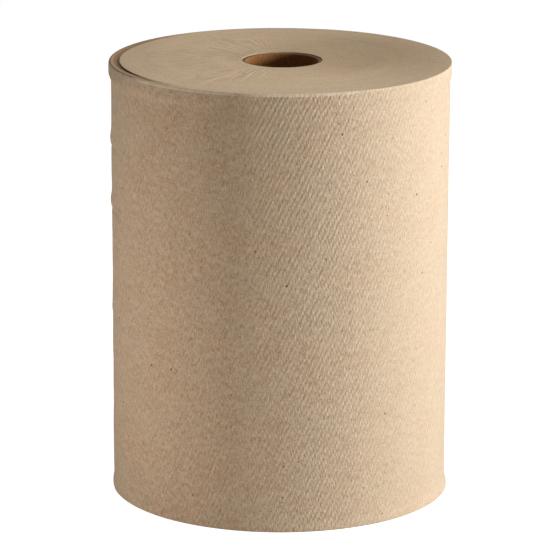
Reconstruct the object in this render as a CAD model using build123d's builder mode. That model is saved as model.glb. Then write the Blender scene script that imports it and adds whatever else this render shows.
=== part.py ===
from build123d import *
import os
from math import cos, pi, radians, sin

# Hardwound kraft paper towel on a paperboard core, standing on its end. Millimetres, +Z up.
# The origin is on the core's axis at the base. The loosened side of the roll faces -X, and
# the tail of the sheet ends at the back, which is +Y.

# Wound paper
web_width = 203.2
roll_radius = 78.2
roll_lean = 0.7
wrap_step = 0.3
tail_angle = radians(75)

# Flared lips, by how far they stand out at the loose side, the front and back, and the tight side
top_lip_height = 9.2
top_lip_loose = 1.2
top_lip_front = 0.35
top_lip_tight = 0.65
base_lip_height = 4.5
base_lip_loose = 0.5
base_lip_front = 0.3
base_lip_tight = 1.0

# How far the edge of an end face is drawn in from its lip, on the same sides
edge_ease_loose = 1.1
edge_ease_front = 0.5
edge_ease_tight = 0.3

# Creases across the loosened wraps, each a low fold with a groove below it
crease_height = 7.0
crease_stand_out = 0.5
crease_half_angle = radians(38)

# Crescent gap between the tight wraps and the loosened ones, which fill the depth outside it
loosened_depth = 2.5
tight_lean = 0.8
gap_width = 1.5
gap_middle = radians(182)
gap_half_angle = radians(42)

# Paperboard core
core_outer_diameter = 37.0
core_wall = 1.6
core_recess = 0.4
core_clearance = 0.05

# Shared by every cut
overrun = 1.0

# Up a lip, from the straight wall to the end face: where its sections lie, how far it has opened
# at each, and how much of the edge's ease is taken there
lip_height_shares = [0.0, 0.15, 0.3, 0.45, 0.6, 0.88, 0.96, 1.0]
lip_flare_shares = [0.0, 0.12, 0.5, 0.88, 1.0, 1.0, 1.0, 1.0]
lip_ease_shares = [0.0, 0.0, 0.0, 0.0, 0.0, 0.0, 0.3, 1.0]

# Where the creases lie up the roll, and how large each is beside the largest
crease_place_shares = [0.426, 0.679, 0.822]
crease_size_shares = [0.5, 1.0, 1.0]

# Up a crease, counted from its middle: where its sections lie and how far they stand out
crease_height_shares = [-0.5, -0.22, 0.0, 0.22, 0.5]
crease_fold_shares = [0.0, -0.4, 0.6, 1.0, 0.0]

outline_points = 24
gap_points = 12
turn = 2 * pi


def by_side(angle, loose, front, tight):
    """Size at an angle round the roll, blended between those of the named sides."""
    side = loose if cos(angle) < 0 else tight
    return side * cos(angle) ** 2 + front * sin(angle) ** 2


def lip_extra(flare_share, ease_share, loose, front, tight):
    """How far a lip stands out round the roll, at one of its sections."""
    def extra(angle):
        ease = by_side(angle, edge_ease_loose, edge_ease_front, edge_ease_tight)
        return flare_share * by_side(angle, loose, front, tight) - ease_share * ease
    return extra


def crease_extra(stand_out):
    """How far a crease stands out round the roll, fading to both sides of the gap's middle."""
    def extra(angle):
        away = (angle - gap_middle) / crease_half_angle
        return stand_out * cos(away * pi / 2) ** 2 if abs(away) < 1 else 0
    return extra


def wrap_section(height, extra):
    """Face across the roll, whose outline spirals out to the tail and leans to the loose side."""
    points = []
    for index in range(outline_points + 1):
        wound_share = index / outline_points
        angle = tail_angle + turn * wound_share
        radius = roll_radius + wrap_step * (wound_share - 0.5) + extra(angle)
        points.append((radius * cos(angle) - roll_lean, radius * sin(angle)))
    with BuildSketch(Plane.XY.offset(height)) as section:
        with BuildLine():
            Spline(*points)
            Line(points[-1], points[0])
        make_face()
    return section.sketch


def lip_sections(wall_height, end_height, loose, front, tight):
    """Faces up a lip, from where the wall is straight to the end face."""
    faces = []
    for height_share, flare_share, ease_share in zip(lip_height_shares, lip_flare_shares, lip_ease_shares):
        height = wall_height + (end_height - wall_height) * height_share
        faces.append(wrap_section(height, lip_extra(flare_share, ease_share, loose, front, tight)))
    return faces


def crease_sections(height, stand_out):
    """Faces up one crease in the loosened wraps."""
    faces = []
    for height_share, fold_share in zip(crease_height_shares, crease_fold_shares):
        extra = crease_extra(stand_out * fold_share)
        faces.append(wrap_section(height + crease_height * height_share, extra))
    return faces


# Paper: the outside is lofted from the base to the top, then bored for the core and slit
with BuildPart() as paper_web:
    top_wall = web_width - top_lip_height
    sections = lip_sections(base_lip_height, 0, base_lip_loose, base_lip_front, base_lip_tight)
    sections.reverse()
    for place_share, size_share in zip(crease_place_shares, crease_size_shares):
        sections += crease_sections(web_width * place_share, crease_stand_out * size_share)
    sections += lip_sections(top_wall, web_width, top_lip_loose, top_lip_front, top_lip_tight)
    loft(sections, ruled=True)

    # Bore that the core fills
    with BuildSketch(Plane.XY.offset(-overrun)):
        Circle(core_outer_diameter / 2 + core_clearance)
    extrude(amount=web_width + 2 * overrun, mode=Mode.SUBTRACT)

    # Crescent gap that opens behind the loosened wraps and closes at both ends
    tight_radius = roll_radius - loosened_depth
    with BuildSketch(Plane.XY.offset(-overrun)):
        with BuildLine():
            inner_points = []
            outer_points = []
            for index in range(gap_points + 1):
                along = 2 * index / gap_points - 1
                angle = gap_middle + gap_half_angle * along
                opening = gap_width * cos(along * pi / 2)
                inner_points.append((tight_radius * cos(angle) + tight_lean, tight_radius * sin(angle)))
                outer_radius = tight_radius + opening
                outer_points.append((outer_radius * cos(angle) + tight_lean, outer_radius * sin(angle)))
            ThreePointArc(inner_points[0], inner_points[gap_points // 2], inner_points[-1])
            Spline(*outer_points)
        make_face()
    extrude(amount=web_width + 2 * overrun, mode=Mode.SUBTRACT)

# Core: a plain tube that stands on the base and stops short of the top
with BuildPart() as core_tube:
    with BuildSketch():
        Circle(core_outer_diameter / 2)
        Circle(core_outer_diameter / 2 - core_wall, mode=Mode.SUBTRACT)
    extrude(amount=web_width - core_recess)

os.makedirs("parts", exist_ok=True)
paper_web.part.label = "paper_web"
core_tube.part.label = "core_tube"
export_step(paper_web.part, "parts/paper_web.step")
export_step(core_tube.part, "parts/core_tube.step")
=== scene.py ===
from math import atan2, ceil, cos, exp, hypot, pi, radians, sin, sqrt

import bpy
from mathutils import Matrix, Vector, noise


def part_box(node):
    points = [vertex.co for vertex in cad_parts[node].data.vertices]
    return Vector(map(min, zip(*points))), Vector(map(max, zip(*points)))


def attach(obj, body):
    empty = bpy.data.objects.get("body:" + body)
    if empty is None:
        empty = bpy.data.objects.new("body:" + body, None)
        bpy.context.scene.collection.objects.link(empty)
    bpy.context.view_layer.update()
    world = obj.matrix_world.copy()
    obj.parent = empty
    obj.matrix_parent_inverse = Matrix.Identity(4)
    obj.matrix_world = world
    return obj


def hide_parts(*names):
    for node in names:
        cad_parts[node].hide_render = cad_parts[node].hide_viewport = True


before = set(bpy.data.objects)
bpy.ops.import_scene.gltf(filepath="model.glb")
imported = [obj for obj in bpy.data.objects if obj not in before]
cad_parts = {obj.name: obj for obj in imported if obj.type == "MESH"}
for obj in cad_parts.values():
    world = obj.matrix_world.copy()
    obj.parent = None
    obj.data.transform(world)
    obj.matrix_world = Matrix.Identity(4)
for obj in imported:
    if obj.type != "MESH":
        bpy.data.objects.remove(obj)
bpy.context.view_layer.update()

# A hardwound roll of kraft paper towel, standing on its end. Lengths are in metres and angles in
# radians. The loosened side of the roll faces -X, and the tail of the sheet is at the back, +Y.

turn = 2 * pi
hair = 0.000001

# Driving sizes of the wound paper
web_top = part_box("paper_web")[1].z
core_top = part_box("core_tube")[1].z
core_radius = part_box("core_tube")[1].x
core_clearance = 0.00005
bore_radius = core_radius + core_clearance
roll_radius = 0.0782
roll_lean = 0.0007
wrap_step = 0.0003
tail_angle = radians(75)

# Lips at both ends: where they start and are full, and how far they stand out on each side
top_lip_start = 0.0092
top_lip_full = 0.0050
top_lip_loose = 0.0012
top_lip_front = 0.00035
top_lip_tight = 0.00065
base_lip_start = 0.0045
base_lip_full = 0.0012
base_lip_loose = 0.0005
base_lip_front = 0.0003
base_lip_tight = 0.0010

# Rounding of the edge between wall and end face, on the same sides
round_band = 0.0012
top_round_loose = 0.0011
top_round_front = 0.0005
top_round_tight = 0.00025
base_round = 0.0004

# Crescent gap between the tight wraps and the loosened ones
loosened_depth = 0.0025
tight_lean = 0.0008
gap_width = 0.0015
gap_middle = radians(182)
gap_half_angle = radians(42)
gap_closing_depth = 0.006
gap_inner_share = 0.3
bundle_drop = 0.0011
bundle_slope_power = 1.3
seam_middle = radians(216)
seam_half_angle = radians(12)
seam_depth = 0.00035
seam_place_share = 0.55
seam_width_share = 0.12

# Creases across the loosened wraps: height, how far the fold stands out, and its reach round the roll
crease_folds = [
    (0.0866, 0.00025, radians(26)),
    (0.1379, 0.0006, radians(24)),
    (0.1672, 0.00055, radians(20)),
]
fold_half_height = 0.0030
groove_drop = 0.0036
groove_half_height = 0.0010
groove_share = 0.55
largest_fold = max(fold[1] for fold in crease_folds)

# Height over which the painted shade under the loosened lip grows, and how far the painted highlight along
# the rim fades
lip_shade_height = 0.0030
rim_fade = 0.8
rim_fade_tight_share = 0.8

# Slow unevenness of the wall, and the loose end of the sheet at the tail
wall_wave = 0.00012
wall_wave_size = 0.030
loose_wave = 0.0002
loose_wave_size = 0.015
loose_wave_reach_share = 1.4
loose_wave_shift = Vector((7, 3, 1))
tail_lift = 0.0005
tail_lift_share = 0.6
tail_wave_share = 0.5
tail_reach = 0.010
tail_sheet = 0.0002
tail_undercut = 0.0022
tail_held = 0.012

# Core
core_wall = 0.0016
core_edge_round = 0.0003
core_unevenness = 0.0001
core_wave_size = 0.015

# Mesh spacing and counts, and the limits that tell its parts apart
columns = 384
core_columns = 128
face_ring = 0.0042
bundle_rings = 8
wall_row = 0.0018
crease_row = 0.0009
crease_band = 0.0065
lip_row = 0.0008
round_rows = 5
bore_rows = 10
gap_rows = 14
core_row = 0.006
tail_cuts = 2
tail_hole_sides = 8
side_margin = 0.00004
smooth_limit = radians(35)
end_face_limit = radians(45)


# Helpers for modelling

def start_vertex(name, place):
    """New mesh object that holds one vertex, in edit mode."""
    bpy.ops.object.select_all(action="DESELECT")
    bpy.ops.mesh.primitive_plane_add(size=wall_row, location=place)
    piece = bpy.context.object
    piece.name = name
    piece.data.name = name
    bpy.ops.object.transform_apply(location=True, rotation=True, scale=True)
    bpy.ops.object.mode_set(mode="EDIT")
    bpy.ops.mesh.select_mode(type="VERT")
    bpy.ops.mesh.select_all(action="SELECT")
    bpy.ops.mesh.merge(type="CENTER")
    return piece


def turned_ring(name, outline, steps):
    """Ring turned from a closed outline of (radius, height) points."""
    radius, height = outline[0]
    piece = start_vertex(name, (radius, 0, height))
    for next_radius, next_height in outline[1:]:
        step = (next_radius - radius, 0, next_height - height)
        bpy.ops.mesh.extrude_vertices_move(TRANSFORM_OT_translate={"value": step})
        radius, height = next_radius, next_height
    bpy.ops.object.mode_set(mode="OBJECT")
    screw = piece.modifiers.new("Turned", "SCREW")
    screw.axis = "Z"
    screw.angle = turn
    screw.steps = steps
    screw.render_steps = steps
    bpy.ops.object.modifier_apply(modifier=screw.name)
    merge_near(piece, lambda place: True)
    return piece


def spaced(start, end, spacing):
    """Even places from start towards end, which is left out."""
    count = ceil(abs(end - start) / spacing)
    return [start + (end - start) * index / count for index in range(count)]


def edit_selected(piece, wanted):
    """Enters edit mode with only the vertices selected that pass the test."""
    bpy.context.view_layer.objects.active = piece
    bpy.ops.object.mode_set(mode="EDIT")
    bpy.ops.mesh.select_mode(type="VERT")
    bpy.ops.mesh.select_all(action="DESELECT")
    bpy.ops.object.mode_set(mode="OBJECT")
    for vertex in piece.data.vertices:
        vertex.select = wanted(vertex.co)
    bpy.ops.object.mode_set(mode="EDIT")


def merge_near(piece, wanted):
    """Joins those vertices that pass the test and lie on each other."""
    edit_selected(piece, wanted)
    bpy.ops.mesh.remove_doubles(threshold=hair)
    bpy.ops.object.mode_set(mode="OBJECT")


def open_edges(piece):
    """Edges of a mesh that only one face meets."""
    uses = {}
    for face in piece.data.polygons:
        for key in face.edge_keys:
            uses[key] = uses.get(key, 0) + 1
    return {key for key, count in uses.items() if count == 1}


def edit_open_edges(piece, wanted):
    """Enters edit mode with only those open edges selected whose two ends pass the test."""
    border = open_edges(piece)
    bpy.context.view_layer.objects.active = piece
    bpy.ops.object.mode_set(mode="EDIT")
    bpy.ops.mesh.select_mode(type="EDGE")
    bpy.ops.mesh.select_all(action="DESELECT")
    bpy.ops.object.mode_set(mode="OBJECT")
    places = [vertex.co for vertex in piece.data.vertices]
    for edge in piece.data.edges:
        first, second = edge.vertices
        edge.select = edge.key in border and wanted(places[first]) and wanted(places[second])
    bpy.ops.object.mode_set(mode="EDIT")


def face_outwards(piece):
    """Turns all faces of a closed mesh outwards."""
    bpy.context.view_layer.objects.active = piece
    bpy.ops.object.mode_set(mode="EDIT")
    bpy.ops.mesh.select_all(action="SELECT")
    bpy.ops.mesh.normals_make_consistent(inside=False)
    bpy.ops.object.mode_set(mode="OBJECT")


def shade_piece(piece):
    """Smooth shading with sharp edges kept."""
    bpy.ops.object.select_all(action="DESELECT")
    piece.select_set(True)
    bpy.context.view_layer.objects.active = piece
    bpy.ops.object.shade_smooth_by_angle(angle=smooth_limit)


def face_middles(mesh):
    """For each vertex, the mean middle of the faces that meet there."""
    sums = [Vector() for _ in mesh.vertices]
    counts = [0] * len(mesh.vertices)
    for face in mesh.polygons:
        middle = face.center
        for index in face.vertices:
            sums[index] += middle
            counts[index] += 1
    return [total / max(count, 1) for total, count in zip(sums, counts)]


# Shape of the roll

def smooth(share):
    """Smooth step from 0 to 1."""
    share = min(max(share, 0), 1)
    return share * share * (3 - 2 * share)


def window(angle, middle, half_angle):
    """1 at the middle angle, falling smoothly to 0 at both ends of its reach."""
    away = abs((angle - middle + pi) % turn - pi) / half_angle
    return cos(away * pi / 2) ** 2 if away < 1 else 0


def by_side(angle, loose, front, tight):
    """Size at an angle round the roll, blended between those of the named sides."""
    side = loose if cos(angle) < 0 else tight
    return side * cos(angle) ** 2 + front * sin(angle) ** 2


def share_from_tail(place):
    """How far round the roll a place lies, from 0 at the tail to 1 at the tail again."""
    return (atan2(place.y, place.x) - tail_angle) % turn / turn


def lip_stand_out(angle, height):
    """How far the lips at both ends stand out from the straight wall."""
    below_top = web_top - height
    top_share = smooth((top_lip_start - below_top) / (top_lip_start - top_lip_full))
    base_share = smooth((base_lip_start - height) / (base_lip_start - base_lip_full))
    top_lip = by_side(angle, top_lip_loose, top_lip_front, top_lip_tight)
    base_lip = by_side(angle, base_lip_loose, base_lip_front, base_lip_tight)
    return top_share * top_lip + base_share * base_lip


def crease_stand_out(angle, height):
    """Low folds across the loosened wraps, each with a groove below it."""
    total = 0
    for place, stand_out, reach in crease_folds:
        around = window(angle, gap_middle, reach)
        fold = exp(-((height - place) / fold_half_height) ** 2)
        groove = exp(-((height - place + groove_drop) / groove_half_height) ** 2)
        total += stand_out * around * (fold - groove_share * groove)
    return total


def groove_and_lip_shade(angle, height):
    """How strongly painted shade darkens the wall in the creases' grooves and under the loosened lip, from
    0 to 1.
    """
    above_wall = height - (web_top - top_lip_start)
    total = smooth(above_wall / lip_shade_height) * window(angle, gap_middle, gap_half_angle)
    for place, stand_out, reach in crease_folds:
        groove = exp(-((height - place + groove_drop) / groove_half_height) ** 2)
        total += stand_out / largest_fold * sqrt(window(angle, gap_middle, reach)) * groove
    return total


def wall_unevenness(angle, height):
    """Slow waves of the wall, larger on the loosened side."""
    place = Vector((cos(angle), sin(angle), 0)) * roll_radius + Vector((0, 0, height))
    slow = noise.noise(place / wall_wave_size)
    loose = noise.noise(place / loose_wave_size + loose_wave_shift)
    loose *= window(angle, gap_middle, gap_half_angle * loose_wave_reach_share)
    return wall_wave * slow + loose_wave * loose


def held_by_ends(height):
    """0 at both ends of the roll, where its edges hold the tail, and 1 between them."""
    return smooth(height / tail_held) * smooth((web_top - height) / tail_held)


def tail_stand_out(share, height):
    """Lift of the sheet's end along its tail."""
    along = smooth(1 - (1 - share) * turn * roll_radius / tail_reach)
    wavy = tail_lift_share + tail_wave_share * noise.noise(Vector((0, 0, height / wall_wave_size)))
    return tail_lift * along * held_by_ends(height) * wavy


def wall_place(angle, share, height):
    """Point of the real wall for an angle and a height on the plain cylinder."""
    stand_out = lip_stand_out(angle, height) + crease_stand_out(angle, height)
    stand_out += wall_unevenness(angle, height) + tail_stand_out(share, height)
    radius = roll_radius + wrap_step * (share - 0.5) + stand_out
    top_part = (height - (web_top - round_band)) / round_band
    base_part = (round_band - height) / round_band
    if top_part > 0:
        size = by_side(angle, top_round_loose, top_round_front, top_round_tight)
        radius -= size * (1 - cos(top_part * pi / 2))
        height = web_top - size * (1 - sin(top_part * pi / 2))
    elif base_part > 0:
        radius -= base_round * (1 - cos(base_part * pi / 2))
        height = base_round * (1 - sin(base_part * pi / 2))
    return Vector((radius * cos(angle) - roll_lean, radius * sin(angle), height))


def gap_edge(angle, outer):
    """Point of the crescent gap's inner or outer edge, in plan."""
    radius = roll_radius - loosened_depth
    if outer:
        radius += gap_width * window(angle, gap_middle, gap_half_angle)
    return Vector((radius * cos(angle) + tight_lean, radius * sin(angle), 0))


def tight_end_place(radius, angle, height):
    """Point of the tight wraps' end face for a plain radius and angle."""
    part = (radius - bore_radius) / (roll_radius - loosened_depth - bore_radius)
    bore_edge = Vector((bore_radius * cos(angle), bore_radius * sin(angle), 0))
    place = bore_edge.lerp(gap_edge(angle, False), part)
    place.z = height
    return place


def loose_end_place(radius, angle, share, height):
    """Point of the loosened wraps' end face. On top it slopes down to the gap."""
    part = (radius - (roll_radius - loosened_depth)) / loosened_depth
    rim = wall_place(angle, share, height)
    place = gap_edge(angle, True).lerp(rim, part)
    place.z = rim.z
    if height > web_top / 2:
        slope = (1 - part) ** bundle_slope_power
        place.z -= bundle_drop * slope * window(angle, gap_middle, gap_half_angle)
        seam = exp(-((part - seam_place_share) / seam_width_share) ** 2)
        place.z -= seam_depth * seam * window(angle, seam_middle, seam_half_angle)
    return place


# Wound paper

def wall_heights():
    """Heights of the wall's rows from the top down, closer at the rims, lips and creases."""
    heights = spaced(web_top, web_top - round_band, round_band / round_rows)
    heights += spaced(web_top - round_band, web_top - top_lip_start, lip_row)
    height = web_top - top_lip_start
    while height > base_lip_start:
        heights.append(height)
        creased = any(abs(height - fold[0]) < crease_band for fold in crease_folds)
        height -= crease_row if creased else wall_row
    heights += spaced(base_lip_start, round_band, lip_row)
    heights += spaced(round_band, 0, round_band / round_rows)
    return heights


def paper_outline():
    """Closed outline of the roll's plain section, from the bore's foot up and round to it."""
    gap_ring = roll_radius - loosened_depth
    radii = spaced(bore_radius, gap_ring, face_ring)
    radii += spaced(gap_ring, roll_radius, loosened_depth / bundle_rings)
    outline = [(bore_radius, height) for height in spaced(0, web_top, web_top / bore_rows)]
    outline += [(radius, web_top) for radius in radii]
    outline += [(roll_radius, height) for height in wall_heights()]
    radii.append(roll_radius)
    outline += [(radius, 0) for radius in reversed(radii)]
    return outline


def on_end(place):
    """Whether a plain point lies on one of the roll's two end faces."""
    return place.z < hair or place.z > web_top - hair


def on_gap_line(place):
    """Whether a plain point lies on the crescent's line on an end face."""
    off_ring = abs(hypot(place.x, place.y) - (roll_radius - loosened_depth))
    opened = window(atan2(place.y, place.x), gap_middle, gap_half_angle) > 0
    return on_end(place) and off_ring < hair and opened


def on_tail_line(place):
    """Whether a plain point lies on the tail's line, down the wall and across the loosened wraps."""
    share = share_from_tail(place)
    radius = hypot(place.x, place.y)
    return min(share, 1 - share) < hair and radius > roll_radius - loosened_depth - hair


def shape_paper(paper):
    """Moves the plain ring's vertices to the shape of the real roll, and marks where the painted highlight
    along its rim and the painted shade in its grooves and under its lip go.
    """
    gap_ring = roll_radius - loosened_depth
    rim = paper.data.attributes.new("rim", "FLOAT", "POINT")
    groove = paper.data.attributes.new("groove", "FLOAT", "POINT")
    for vertex, middle in zip(paper.data.vertices, face_middles(paper.data)):
        radius = hypot(vertex.co.x, vertex.co.y)
        angle = atan2(vertex.co.y, vertex.co.x)
        share = share_from_tail(vertex.co)
        if min(share, 1 - share) < hair:
            share = round(share_from_tail(middle))
        loose = radius > gap_ring + hair
        if abs(radius - gap_ring) < hair:
            loose = hypot(middle.x, middle.y) > radius + side_margin
        if radius > roll_radius - hair:
            if vertex.co.z > web_top - round_band - hair:
                # Painted highlight along the top rim, fainter on the loosened and tight sides
                faint = window(angle, gap_middle, gap_half_angle)
                faint += rim_fade_tight_share * window(angle, 0, pi / 2)
                rim.data[vertex.index].value = 1 - rim_fade * faint
            # Painted shade in the creases' grooves and under the loosened lip
            groove.data[vertex.index].value = groove_and_lip_shade(angle, vertex.co.z)
            vertex.co = wall_place(angle, share, vertex.co.z)
        elif on_end(vertex.co) and loose:
            vertex.co = loose_end_place(radius, angle, share, vertex.co.z)
        elif on_end(vertex.co):
            vertex.co = tight_end_place(radius, angle, vertex.co.z)


def line_gap(paper):
    """Joins the crescent's edges on the two end faces by walls that close in with depth."""
    first_new = len(paper.data.vertices)
    gap_ring = roll_radius - loosened_depth
    edit_open_edges(paper, lambda place: place.x < 0)
    bpy.ops.mesh.bridge_edge_loops(number_cuts=gap_rows)
    bpy.ops.object.mode_set(mode="OBJECT")
    for vertex in paper.data.vertices[first_new:]:
        across = Vector((vertex.co.x - tight_lean, vertex.co.y, 0))
        height = web_top * smooth(vertex.co.z / web_top)
        depth = min(height, web_top - height)
        opened = gap_inner_share + (1 - gap_inner_share) * exp(-depth / gap_closing_depth)
        radius = gap_ring + (across.length - gap_ring) * opened
        vertex.co = across.normalized() * radius + Vector((tight_lean, 0, height))


def close_tail(paper):
    """Fills the step at the tail with the sheet's cut edge and the underside of its loose end."""
    first_new = len(paper.data.vertices)
    gap_ring = roll_radius - loosened_depth
    inner_end = gap_ring + loosened_depth / bundle_rings / 2
    edit_open_edges(paper, lambda place: hypot(place.x - tight_lean, place.y) > inner_end)
    bpy.ops.mesh.bridge_edge_loops(number_cuts=tail_cuts)
    bpy.ops.mesh.select_all(action="SELECT")
    bpy.ops.mesh.fill_holes(sides=tail_hole_sides)
    bpy.ops.object.mode_set(mode="OBJECT")
    for vertex in paper.data.vertices[first_new:]:
        held = held_by_ends(vertex.co.z)
        if held > 0:
            upper = wall_place(tail_angle, 1, vertex.co.z)
            lower = wall_place(tail_angle, 0, vertex.co.z)
            on_cut_edge = (vertex.co - upper).length < (vertex.co - lower).length
            back = wall_place(tail_angle - tail_undercut / roll_radius, 0, vertex.co.z)
            under = upper.lerp(lower, tail_sheet / (upper - lower).length)
            vertex.co = vertex.co.lerp(under if on_cut_edge else back, held)


def on_end_face(face):
    """Whether a face lies flat, as on the end faces, and doesn't stand, as on the walls."""
    return abs(face.normal.z) > cos(end_face_limit)


def map_sheet(piece):
    """UV map: along the sheet and up it, in metres of the outer wall, and plain places on the ends."""
    mesh = piece.data
    layer = mesh.uv_layers.active
    layer.name = "sheet"
    length = turn * roll_radius
    for face in mesh.polygons:
        middle = share_from_tail(face.center)
        flat = on_end_face(face)
        for loop in face.loop_indices:
            place = mesh.vertices[mesh.loops[loop].vertex_index].co
            share = share_from_tail(place)
            share += round(middle - share)
            layer.data[loop].uv = (place.x, place.y) if flat else (share * length, place.z)


def make_paper():
    """The wound paper, as one closed surface."""
    paper = turned_ring("wound_paper", paper_outline(), columns)
    paper.data.transform(Matrix.Rotation(tail_angle, 4, "Z"))
    edit_selected(paper, lambda place: on_gap_line(place) or on_tail_line(place))
    bpy.ops.mesh.select_mode(type="EDGE")
    bpy.ops.mesh.edge_split(type="EDGE")
    bpy.ops.object.mode_set(mode="OBJECT")
    shape_paper(paper)
    line_gap(paper)
    close_tail(paper)
    face_outwards(paper)
    map_sheet(paper)
    paper.data.materials.append(wall_paper())
    paper.data.materials.append(cut_edges())
    for face in paper.data.polygons:
        face.material_index = 1 if on_end_face(face) else 0
    shade_piece(paper)
    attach(paper, "root")
    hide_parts("paper_web")


# Core

def make_core():
    """The paperboard tube, with the small rounding of its cut ends."""
    inner = core_radius - core_wall
    ease = core_edge_round
    outline = [(inner, height) for height in spaced(ease, core_top - ease, core_row)]
    outline += [(inner, core_top - ease), (inner + ease, core_top), (core_radius - ease, core_top)]
    outline += [(core_radius, core_top - ease), (core_radius, ease)]
    outline += [(core_radius - ease, 0), (inner + ease, 0), (inner, ease)]
    core = turned_ring("board_core", outline, core_columns)
    for vertex in core.data.vertices:
        place = vertex.co.copy()
        if hypot(place.x, place.y) < inner + ease / 2:
            wave = noise.noise(place / core_wave_size)
            vertex.co.xy = place.xy * (1 + core_unevenness * wave / inner)
    face_outwards(core)
    map_sheet(core)
    core.data.materials.append(core_board())
    shade_piece(core)
    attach(core, "root")
    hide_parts("core_tube")


# Helpers for materials

def add_node(tree, kind, inputs=None, **settings):
    """Adds a node. Its inputs are given by name or number, each a value or a socket to join."""
    node = tree.nodes.new(kind)
    for name, value in settings.items():
        setattr(node, name, value)
    for name, value in (inputs or {}).items():
        if isinstance(value, bpy.types.NodeSocket):
            tree.links.new(value, node.inputs[name])
        else:
            node.inputs[name].default_value = value
    return node


def add_math(tree, operation, *values):
    """Adds a math node and returns its result."""
    return add_node(tree, "ShaderNodeMath", dict(enumerate(values)), operation=operation).outputs[0]


def add_vector_math(tree, operation, *values):
    """Adds a vector math node and returns its vector."""
    node = add_node(tree, "ShaderNodeVectorMath", dict(enumerate(values)), operation=operation)
    return node.outputs["Vector"]


def add_scaled(tree, vector, scale):
    """Vector times a number."""
    node = add_node(tree, "ShaderNodeVectorMath", {0: vector, "Scale": scale}, operation="SCALE")
    return node.outputs["Vector"]


def add_dot(tree, first, second):
    """Dot product of two vectors."""
    node = add_node(tree, "ShaderNodeVectorMath", {0: first, 1: second}, operation="DOT_PRODUCT")
    return node.outputs["Value"]


def add_length(tree, vector):
    """Length of a vector."""
    node = add_node(tree, "ShaderNodeVectorMath", {0: vector}, operation="LENGTH")
    return node.outputs["Value"]


def add_axis(tree, vector, axis):
    """One part of a vector, named X, Y or Z."""
    return add_node(tree, "ShaderNodeSeparateXYZ", {0: vector}).outputs[axis]


def add_noise(tree, place, scale, detail=2.0, roughness=0.5):
    """Adds a noise texture, whose value is about a half on average."""
    inputs = {"Vector": place, "Scale": scale, "Detail": detail, "Roughness": roughness}
    return add_node(tree, "ShaderNodeTexNoise", inputs).outputs["Fac"]


def add_swing(tree, value, weight, base):
    """Adds a noise's swing about its average, times a weight, to a base value."""
    swing = add_math(tree, "SUBTRACT", value, half)
    return add_math(tree, "MULTIPLY_ADD", swing, weight, base)


def add_share(tree, value, low, high):
    """Value from low to high turned into a smooth 0 to 1."""
    inputs = {"Value": value, "From Min": low, "From Max": high}
    node = add_node(tree, "ShaderNodeMapRange", inputs, interpolation_type="SMOOTHSTEP")
    return node.outputs["Result"]


def add_mix(tree, share, first, second):
    """Mix of two colours."""
    node = add_node(tree, "ShaderNodeMix", data_type="RGBA")
    for name, value in (("Factor_Float", share), ("A_Color", first), ("B_Color", second)):
        socket = next(each for each in node.inputs if each.identifier == name)
        if isinstance(value, bpy.types.NodeSocket):
            tree.links.new(value, socket)
        else:
            socket.default_value = value
    return next(each for each in node.outputs if each.identifier == "Result_Color")


def new_group(name, inputs, outputs):
    """New shader group with named sockets, and its input and output nodes."""
    group = bpy.data.node_groups.new(name, "ShaderNodeTree")
    for socket, kind in inputs.items():
        group.interface.new_socket(name=socket, in_out="INPUT", socket_type="NodeSocket" + kind)
    for socket, kind in outputs.items():
        group.interface.new_socket(name=socket, in_out="OUTPUT", socket_type="NodeSocket" + kind)
    return group, group.nodes.new("NodeGroupInput").outputs, group.nodes.new("NodeGroupOutput").inputs


def new_material(name):
    """New material with a Principled shader, its tree and its shader's inputs."""
    material = bpy.data.materials.new(name)
    material.use_nodes = True
    tree = material.node_tree
    return material, tree, tree.nodes["Principled BSDF"].inputs


def colour(red, green, blue):
    """Colour for a socket, from values as a picture editor shows them."""
    def linear(value):
        share = value / 255
        return share / 12.92 if share < 0.04045 else ((share + 0.055) / 1.055) ** 2.4
    return linear(red), linear(green), linear(blue), 1


# Patterns are laid out in millimetres, and how fine one is counts turns per millimetre.
# A reach is a pair of values between which something grows from nothing to full.
millimetres = 1000
half = 0.5

# Colours of the paper and board
wall_dark = colour(167, 142, 116)
wall_light = colour(213, 190, 162)
edge_dark = colour(188, 162, 131)
edge_light = colour(222, 197, 164)
# Colour of the painted highlight along the top rim
rim_highlight_colour = colour(222, 201, 175)
speck_brown = colour(84, 58, 38)
board_dark = colour(104, 60, 24)
board_light = colour(156, 103, 50)
# Painted shade for the core's recessed cut end
board_edge = colour(82, 60, 38)

# What a colour is multiplied by in the fibres' redder patches, in the end face's greyer patch of painted
# shade, and on the edges of the loosened wraps
redder_tint = (1.0, 0.965, 0.945)
greyer_tint = (0.80, 0.77, 0.72)
wrap_tint = (0.58, 0.50, 0.42)

# Fibres: how fine each pattern is, how much it changes the tone, and how high it stands
cloud_scale = 0.10
cloud_weight = 0.35
grain_scale = 1.1
grain_weight = 1.5
grain_height = 0.045
mottle_scale = 0.36
mottle_weight = 0.8
strand_scale = (2.4, 0.45, 1.0)
strand_angles = (radians(24), radians(-58), radians(85))
strand_height = 0.012
redder_scale = 0.055
redder_reach = (0.40, 0.66)
fleck_scale = 0.75
fleck_reach = (0.36, 0.24)
fleck_strength = 0.42
speck_scale = 0.16
speck_pick_reach = (0.42, 0.90)
speck_reach = (0.105, 0.045)

# Painted highlight along the top rim, broken up by noise
highlight_break_scale = 0.12
highlight_break_reach = (0.25, 0.6)
rim_reach = (0.70, 1.0)

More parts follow.
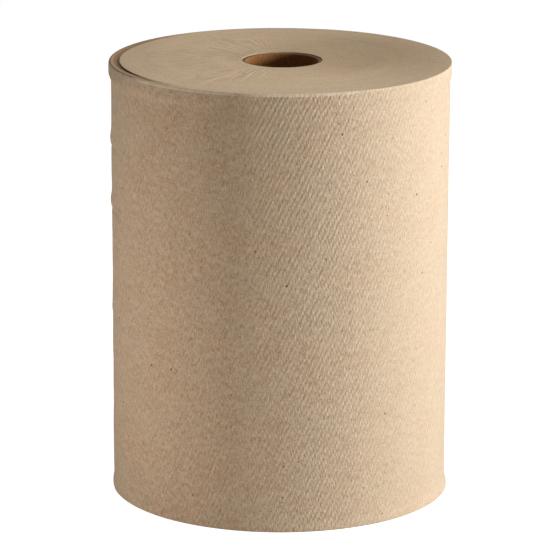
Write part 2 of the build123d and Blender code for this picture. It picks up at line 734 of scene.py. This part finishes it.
# Crepe of the sheet: two sets of ridges, in turns per millimetre along and up the sheet, grains
# that are drawn out up the sheet, and patches where the ridges fade
steep_ridges = (0.4155, -0.207, 0)
flat_ridges = (0.652, 0.245, 0)
flat_ridge_share = 0.36
ridge_height = 0.074
wander_scale = 0.10
wander_distance = 1.5
crepe_grain_angle = radians(-10)
crepe_grain_scale = (1.9, 0.56, 1.0)
crepe_grain_weight = 2.6
fade_scale = 0.34
fade_reach = (0.3, 0.7)
least_ridge_share = 0.18
ridge_share_range = 1.05
# Strength of the painted shade in the grooves and under the lip
painted_shade_strength = 0.34
wall_specks = 1.0

# The wall's texture weakens towards the tight side, between these places along X in metres.
# The photograph shows less texture there. The cause may be its exposure and not the paper.
plainer_reach = (0.004, 0.075)
plainer_loss = 0.48

# Core
board_contrast = 1.3
board_specks = 0.4

# End face: how fine its turns, bands and creases are, per radian round the roll and per millimetre
# outwards, and how much each changes the tone and stands up
edge_contrast = 0.45
edge_specks = 0.5
turns_scale = (1.6, 1.5)
turns_weight = 0.12
turns_height = 0.06
bands_scale = (0.9, 0.11)
bands_weight = 0.22
least_tone = 0.62
creases_scale = (11, 0.025)
crease_half_width = 0.08
crease_patch_scale = 0.05
crease_patch_reach = (0.36, 0.48)
crease_radius_reach = (73, 52)
crease_side_reach = (0.05, -0.55)
# How much painted shade darkens the fine creases
crease_darkening = 0.10
crease_depth = 0.15
swell_height = 0.5

# Painted light and shade on the end face, in tones that the photograph shows, with their places in
# millimetres.
paler_heading = (-0.94, -0.34, 0)
paler_reach = (-72, 16)
paler_weight = 0.26
loose_edge_reach = (-50, -72)
loose_edge_darkening = 0.13
greyer_place = (32, 14, 0)
greyer_reach = (64, 20)
wrap_band = (0.1, 0.5)
wrap_side_reach = (-0.5, -0.8)


def fibre_group():
    """Fibres, mottling and specks of recycled kraft, for a place in millimetres."""
    inputs = {"Place": "Vector", "Dark": "Color", "Light": "Color", "Contrast": "Float", "Specks": "Float"}
    group, given, made = new_group("Kraft Fibres", inputs, {"Color": "Color", "Height": "Float"})
    place = given["Place"]
    contrast = given["Contrast"]

    # Crossing strands, and the tone that they, the clouds, the grain and the mottling give
    strands = []
    for angle in strand_angles:
        mapping = {"Vector": place, "Rotation": (0, 0, angle), "Scale": strand_scale}
        laid = add_node(group, "ShaderNodeMapping", mapping).outputs["Vector"]
        strands.append(add_noise(group, laid, 1.0, 1.0))
    strand = add_math(group, "ADD", add_math(group, "ADD", strands[0], strands[1]), strands[2])
    strand = add_math(group, "SUBTRACT", strand, half * len(strands))
    grain = add_noise(group, place, grain_scale, 3.0, 0.6)
    tone = add_swing(group, add_noise(group, place, cloud_scale), cloud_weight, strand)
    tone = add_swing(group, grain, grain_weight, tone)
    tone = add_swing(group, add_noise(group, place, mottle_scale, 1.0), mottle_weight, tone)
    tone = add_math(group, "MULTIPLY_ADD", tone, contrast, half)
    paper = add_mix(group, tone, given["Dark"], given["Light"])

    # Redder patches, brown flecks, and a brown speck in some cells of a random pattern
    patch = add_share(group, add_noise(group, place, redder_scale), *redder_reach)
    redder = add_vector_math(group, "MULTIPLY", paper, redder_tint)
    paper = add_mix(group, add_math(group, "MULTIPLY", patch, contrast), paper, redder)
    fleck = add_share(group, add_noise(group, place, fleck_scale, 1.0), *fleck_reach)
    fleck = add_math(group, "MULTIPLY", fleck, add_math(group, "MULTIPLY", contrast, fleck_strength))
    paper = add_mix(group, fleck, paper, speck_brown)
    cell = add_node(group, "ShaderNodeTexVoronoi", {"Vector": place, "Scale": speck_scale})
    picked = add_node(group, "ShaderNodeSeparateColor", {0: cell.outputs["Color"]}).outputs[0]
    picked = add_share(group, picked, *speck_pick_reach)
    near = add_share(group, cell.outputs["Distance"], *speck_reach)
    speck = add_math(group, "MULTIPLY", add_math(group, "MULTIPLY", near, picked), given["Specks"])
    group.links.new(add_mix(group, speck, paper, speck_brown), made["Color"])
    raised = add_math(group, "MULTIPLY", strand, strand_height)
    group.links.new(add_swing(group, grain, grain_height, raised), made["Height"])
    return group


def add_fibres(tree, place, dark, light, contrast, specks):
    """Places the fibre group in a material and returns its outputs."""
    inputs = {"Place": place, "Dark": dark, "Light": light, "Contrast": contrast, "Specks": specks}
    return add_node(tree, "ShaderNodeGroup", inputs, node_tree=fibres).outputs


def add_relief(tree, height, shader):
    """Turns a height in millimetres into the surface's bump."""
    bump = add_node(tree, "ShaderNodeBump", {"Height": height, "Distance": 1 / millimetres})
    tree.links.new(bump.outputs["Normal"], shader["Normal"])


def add_rim_highlight(tree, place, paper):
    """Paints a highlight along the top rim, broken up by noise."""
    rim = add_node(tree, "ShaderNodeAttribute", attribute_name="rim").outputs["Fac"]
    broken_up = add_share(tree, add_noise(tree, place, highlight_break_scale, 3.0), *highlight_break_reach)
    line = add_math(tree, "MULTIPLY", add_share(tree, rim, *rim_reach), broken_up)
    return add_mix(tree, line, paper, rim_highlight_colour)


def wall_paper():
    """Creped kraft sheet, as the roll's wall shows it, with painted shade in its grooves and under its lip
    and a painted highlight along its top rim.
    """
    material, tree, shader = new_material("Creped kraft sheet")
    sheet = add_node(tree, "ShaderNodeUVMap", uv_map="sheet").outputs["UV"]
    place = add_scaled(tree, sheet, millimetres)
    position = add_node(tree, "ShaderNodeTexCoord").outputs["Object"]
    plainer = add_share(tree, add_axis(tree, position, "X"), *plainer_reach)
    texture = add_math(tree, "MULTIPLY_ADD", plainer, -plainer_loss, 1.0)
    fibre = add_fibres(tree, place, wall_dark, wall_light, texture, wall_specks)

    # Two sets of ridges, whose places wander a little
    wander = {"Vector": place, "Scale": wander_scale, "Detail": 1.0}
    wander = add_node(tree, "ShaderNodeTexNoise", wander).outputs["Color"]
    wander = add_vector_math(tree, "SUBTRACT", wander, (half, half, half))
    drawn = add_vector_math(tree, "ADD", place, add_scaled(tree, wander, wander_distance))
    ridges = []
    for direction in (steep_ridges, flat_ridges):
        across = add_math(tree, "MULTIPLY", add_dot(tree, drawn, direction), turn)
        ridges.append(add_math(tree, "COSINE", across))
    crepe = add_math(tree, "MULTIPLY_ADD", ridges[1], flat_ridge_share, ridges[0])

    # Patches where the ridges fade, and the drawn-out grains over them
    fade = add_share(tree, add_noise(tree, place, fade_scale), *fade_reach)
    fade = add_math(tree, "MULTIPLY_ADD", fade, ridge_share_range, least_ridge_share)
    crepe = add_math(tree, "MULTIPLY", crepe, fade)
    mapping = {"Vector": drawn, "Rotation": (0, 0, crepe_grain_angle), "Scale": crepe_grain_scale}
    laid = add_node(tree, "ShaderNodeMapping", mapping).outputs["Vector"]
    crepe = add_swing(tree, add_noise(tree, laid, 1.0, 1.0), crepe_grain_weight, crepe)
    crepe = add_math(tree, "MULTIPLY", crepe, ridge_height)
    relief = add_math(tree, "MULTIPLY", add_math(tree, "ADD", crepe, fibre["Height"]), texture)
    add_relief(tree, relief, shader)

    # Painted shade in the creases' grooves and under the loosened lip
    groove = add_node(tree, "ShaderNodeAttribute", attribute_name="groove").outputs["Fac"]
    groove = add_math(tree, "MULTIPLY", groove, painted_shade_strength)
    creased = add_mix(tree, groove, fibre["Color"], speck_brown)
    # Painted highlight along the top rim
    tree.links.new(add_rim_highlight(tree, place, creased), shader["Base Color"])
    shader["Roughness"].default_value = 0.85
    shader["Specular IOR Level"].default_value = 0.15
    shader["Sheen Weight"].default_value = 0.2
    shader["Sheen Roughness"].default_value = 0.5
    return material


def cut_edges():
    """End face: the cut edges of the turns, with fine creases that run out from the bore, and painted
    light and shade across it.
    """
    material, tree, shader = new_material("Cut edges of the turns")
    position = add_node(tree, "ShaderNodeTexCoord").outputs["Object"]
    place = add_scaled(tree, position, millimetres)
    flat = add_vector_math(tree, "MULTIPLY", place, (1, 1, 0))
    heading = add_vector_math(tree, "NORMALIZE", flat)
    toward = add_axis(tree, heading, "X")
    radius = add_length(tree, flat)
    fibre = add_fibres(tree, place, edge_dark, edge_light, edge_contrast, edge_specks)

    def polar(around, outward):
        """Place for a noise that is this fine round the roll and outwards."""
        outward_place = add_math(tree, "MULTIPLY", radius, outward)
        out = add_node(tree, "ShaderNodeCombineXYZ", {"Z": outward_place}).outputs["Vector"]
        return add_vector_math(tree, "ADD", add_scaled(tree, heading, around), out)

    turns = add_noise(tree, polar(*turns_scale), 1.0, 3.0, 0.6)
    bands = add_noise(tree, polar(*bands_scale), 1.0)

    # Fine creases that run out from the bore on the loosened side, each with a raised edge
    swing = add_math(tree, "SUBTRACT", add_noise(tree, polar(*creases_scale), 1.0), half)
    crease = add_share(tree, add_math(tree, "ABSOLUTE", swing), crease_half_width, 0.0)
    patch = add_share(tree, add_noise(tree, place, crease_patch_scale, 1.0), *crease_patch_reach)
    inward = add_share(tree, radius, *crease_radius_reach)
    side = add_share(tree, toward, *crease_side_reach)
    pressed = add_math(tree, "MULTIPLY", add_math(tree, "MULTIPLY", patch, inward), side)
    crease = add_math(tree, "MULTIPLY", crease, pressed)

    # Painted light and shade: paler away from the tight side, darker near the loosened edge, and greyer in
    # one patch
    paler = add_share(tree, add_dot(tree, flat, paler_heading), *paler_reach)
    loose_edge = add_share(tree, add_axis(tree, place, "X"), *loose_edge_reach)
    tone = add_math(tree, "MULTIPLY_ADD", bands, bands_weight, least_tone)
    tone = add_math(tree, "MULTIPLY_ADD", turns, turns_weight, tone)
    tone = add_math(tree, "MULTIPLY_ADD", paler, paler_weight, tone)
    # Painted shade in the fine creases
    tone = add_math(tree, "MULTIPLY_ADD", crease, -crease_darkening, tone)
    tone = add_math(tree, "MULTIPLY_ADD", loose_edge, -loose_edge_darkening, tone)
    toned = add_scaled(tree, fibre["Color"], tone)
    greyer = add_length(tree, add_vector_math(tree, "SUBTRACT", flat, greyer_place))
    greyer = add_share(tree, greyer, *greyer_reach)
    toned = add_mix(tree, greyer, toned, add_vector_math(tree, "MULTIPLY", toned, greyer_tint))

    # Brown edges of the loosened wraps, outside the gap
    outside = add_vector_math(tree, "SUBTRACT", flat, (millimetres * tight_lean, 0, 0))
    gap_ring = millimetres * (roll_radius - loosened_depth)
    band_start, band_full = wrap_band
    wraps = add_share(tree, add_length(tree, outside), gap_ring + band_start, gap_ring + band_full)
    wraps = add_math(tree, "MULTIPLY", wraps, add_share(tree, toward, *wrap_side_reach))
    toned = add_mix(tree, wraps, toned, add_vector_math(tree, "MULTIPLY", toned, wrap_tint))
    # Painted highlight along the top rim
    tree.links.new(add_rim_highlight(tree, place, toned), shader["Base Color"])

    relief = add_math(tree, "MULTIPLY_ADD", turns, turns_height, fibre["Height"])
    swells = add_math(tree, "MULTIPLY", swing, pressed)
    relief = add_math(tree, "MULTIPLY_ADD", swells, swell_height, relief)
    relief = add_math(tree, "MULTIPLY_ADD", crease, -crease_depth, relief)
    add_relief(tree, relief, shader)
    shader["Roughness"].default_value = 0.9
    shader["Specular IOR Level"].default_value = 0.3
    return material


def core_board():
    """Brown fibrous paperboard of the core, darker at its upper cut end, where the shade of its recess is
    painted.
    """
    material, tree, shader = new_material("Wound paperboard")
    sheet = add_node(tree, "ShaderNodeUVMap", uv_map="sheet").outputs["UV"]
    place = add_scaled(tree, sheet, millimetres)
    fibre = add_fibres(tree, place, board_dark, board_light, board_contrast, board_specks)
    position = add_node(tree, "ShaderNodeTexCoord").outputs["Object"]
    # Painted shade on the recessed cut end
    cut = add_share(tree, add_axis(tree, position, "Z"), core_top - core_edge_round, core_top)
    tree.links.new(add_mix(tree, cut, fibre["Color"], board_edge), shader["Base Color"])
    add_relief(tree, fibre["Height"], shader)
    shader["Roughness"].default_value = 0.8
    shader["Specular IOR Level"].default_value = 0.35
    return material


# Floor, light and camera

white = (1, 1, 1, 1)
floor_size = 8
floor_drop = 0.00005
floor_paint = (0.62, 0.60, 0.58, 1)
floor_glow = 0.92
world_tint = (1.0, 0.95, 0.9, 1)
world_strength = 0.02


def make_floor():
    """Plain pale floor that shows the roll's soft shadow on white."""
    bpy.ops.object.select_all(action="DESELECT")
    bpy.ops.mesh.primitive_plane_add(size=floor_size, location=(0, 0, -floor_drop))
    floor = bpy.context.object
    floor.name = "floor"
    bpy.ops.object.transform_apply(location=True, rotation=True, scale=True)
    material = bpy.data.materials.new("Pale floor")
    material.use_nodes = True
    tree = material.node_tree
    tree.nodes.clear()
    paint = add_node(tree, "ShaderNodeBsdfDiffuse", {"Color": floor_paint}).outputs[0]
    glow = add_node(tree, "ShaderNodeEmission", {"Color": white, "Strength": floor_glow}).outputs[0]
    seen = add_node(tree, "ShaderNodeAddShader", {0: paint, 1: glow}).outputs[0]
    mix = add_node(tree, "ShaderNodeMixShader", {0: seen_by_eye(tree), 1: paint, 2: seen})
    output = tree.nodes.new("ShaderNodeOutputMaterial")
    tree.links.new(mix.outputs[0], output.inputs["Surface"])
    floor.data.materials.append(material)


def seen_by_eye(tree):
    """1 for rays from the camera, straight or by reflection or glass, and 0 for light."""
    rays = tree.nodes.new("ShaderNodeLightPath").outputs
    seen = add_math(tree, "MAXIMUM", rays["Is Camera Ray"], rays["Is Glossy Ray"])
    return add_math(tree, "MAXIMUM", seen, rays["Is Transmission Ray"])


def add_lamp(name, heading, rise, distance, size, power, tint):
    """Soft square lamp that faces the roll's middle, from an angle round it and one above the floor."""
    direction = Vector((cos(heading) * cos(rise), sin(heading) * cos(rise), sin(rise)))
    bpy.ops.object.light_add(type="AREA", location=Vector((0, 0, web_top / 2)) + direction * distance)
    lamp = bpy.context.object
    lamp.name = name
    lamp.rotation_euler = direction.to_track_quat("Z", "Y").to_euler()
    lamp.data.shape = "SQUARE"
    lamp.data.size = size
    lamp.data.energy = power
    lamp.data.color = tint


def make_light():
    """Lamps that give the photograph's fall of light, strong at the right and weak at the left."""
    add_lamp("key lamp", radians(-20), radians(12), 1.0, 0.16, 9.9, (0.97, 1.01, 1.02))
    add_lamp("side lamp", radians(0), radians(12), 1.0, 0.2, 1.6, (0.85, 1.0, 1.12))
    add_lamp("left lamp", radians(209), radians(-4), 0.38, 0.1, 0.47, (1.06, 1.01, 0.95))
    add_lamp("front left lamp", radians(236), radians(-2), 0.42, 0.12, 0.05, (1.25, 0.95, 0.75))
    add_lamp("high lamp", radians(10), radians(48), 1.0, 0.3, 3.4, (1.0, 1.0, 1.0))
    add_lamp("overhead lamp", radians(-90), radians(84), 1.0, 0.3, 2.1, (1.0, 1.0, 1.0))
    world = bpy.data.worlds.new("Even light")
    bpy.context.scene.world = world
    world.use_nodes = True
    tree = world.node_tree
    tree.nodes.clear()
    lit = {"Color": world_tint, "Strength": world_strength}
    lit = add_node(tree, "ShaderNodeBackground", lit).outputs[0]
    seen = add_node(tree, "ShaderNodeBackground", {"Color": white, "Strength": 1.0}).outputs[0]
    mix = add_node(tree, "ShaderNodeMixShader", {0: seen_by_eye(tree), 1: lit, 2: seen})
    output = tree.nodes.new("ShaderNodeOutputWorld")
    tree.links.new(mix.outputs[0], output.inputs["Surface"])


def make_camera():
    """Camera at the photograph's viewing angle, for a square picture 560 pixels wide."""
    picture_width = 560
    focal_pixels = 3709
    camera_place = Vector((-0.00056, -1.680, 0.537))
    camera_pitch = 0.2555
    camera_roll = 0.0043
    sensor_width = 36
    camera_reach = 20
    bpy.ops.object.camera_add(location=camera_place)
    camera = bpy.context.object
    look = Matrix.Rotation(pi / 2 - camera_pitch, 4, "X") @ Matrix.Rotation(camera_roll, 4, "Z")
    camera.rotation_euler = look.to_euler()
    camera.data.sensor_width = sensor_width
    camera.data.lens = focal_pixels / picture_width * sensor_width
    camera.data.clip_end = camera_reach
    bpy.context.scene.camera = camera


fibres = fibre_group()
make_paper()
make_core()
make_floor()
make_light()
make_camera()
bpy.context.scene.view_settings.view_transform = "Standard"
